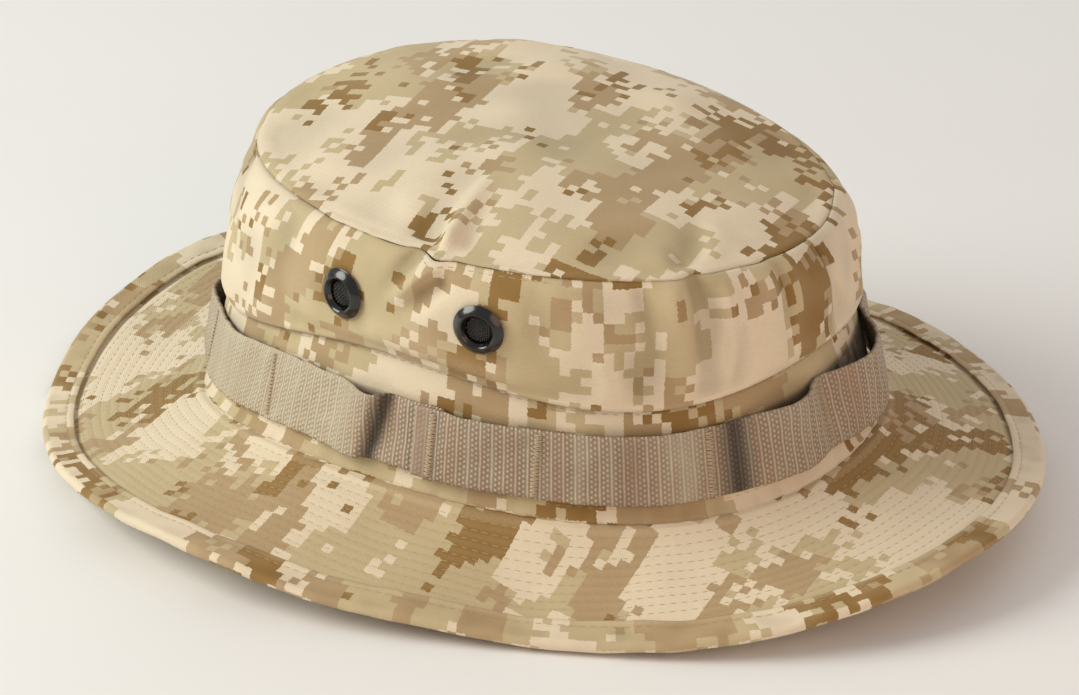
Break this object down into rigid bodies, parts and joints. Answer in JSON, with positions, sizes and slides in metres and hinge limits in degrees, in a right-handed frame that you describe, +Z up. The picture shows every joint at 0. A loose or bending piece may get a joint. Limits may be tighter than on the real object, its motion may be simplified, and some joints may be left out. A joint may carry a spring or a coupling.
{
  "type": "boonie hat",
  "caption": "Soft sun hat in tan camouflage cloth with an oval crown, a wavy stitched brim, a ring of webbing loops and screened side vents",
  "frame": {"origin": "on the surface that the brim rests on, under the middle of the hat's box", "axes": "+X is the front of the hat and runs along its longest extent, +Y is the wearer's left, +Z is up"},
  "size_m": [0.327, 0.2656, 0.1081],
  "materials": {
    "camouflage_cloth": "matt ripstop-weight cotton blend printed in four tans",
    "nylon_webbing": "ribbed nylon weave with a faint sheen",
    "tack_thread": "dense satin-stitched thread",
    "cotton_sweatband": "plain cotton twill tape",
    "stiffener": "matt felted interlining",
    "black_paint": "gloss black lacquer on brass",
    "black_screen": "black painted wire mesh"
  },
  "bodies": {
    "root": {"bartack_01": "tack_thread", "bartack_02": "tack_thread", "bartack_03": "tack_thread", "bartack_04": "tack_thread", "bartack_05": "tack_thread", "bartack_06": "tack_thread", "bartack_07": "tack_thread", "bartack_08": "tack_thread", "bartack_09": "tack_thread", "bartack_10": "tack_thread", "bartack_11": "tack_thread", "bartack_12": "tack_thread", "bartack_13": "tack_thread", "brim_binding": "camouflage_cloth", "brim_interlining": "stiffener", "brim_lower": "camouflage_cloth", "brim_upper": "camouflage_cloth", "crown_band": "camouflage_cloth", "crown_side_far": "camouflage_cloth", "crown_side_near": "camouflage_cloth", "crown_top": "camouflage_cloth", "foliage_webbing": "nylon_webbing", "sweatband": "cotton_sweatband", "vent_far_front_eyelet": "black_paint", "vent_far_front_screen": "black_screen", "vent_far_front_washer": "black_paint", "vent_far_rear_eyelet": "black_paint", "vent_far_rear_screen": "black_screen", "vent_far_rear_washer": "black_paint", "vent_near_front_eyelet": "black_paint", "vent_near_front_screen": "black_screen", "vent_near_front_washer": "black_paint", "vent_near_rear_eyelet": "black_paint", "vent_near_rear_screen": "black_screen", "vent_near_rear_washer": "black_paint"}
  },
  "joints": []
}
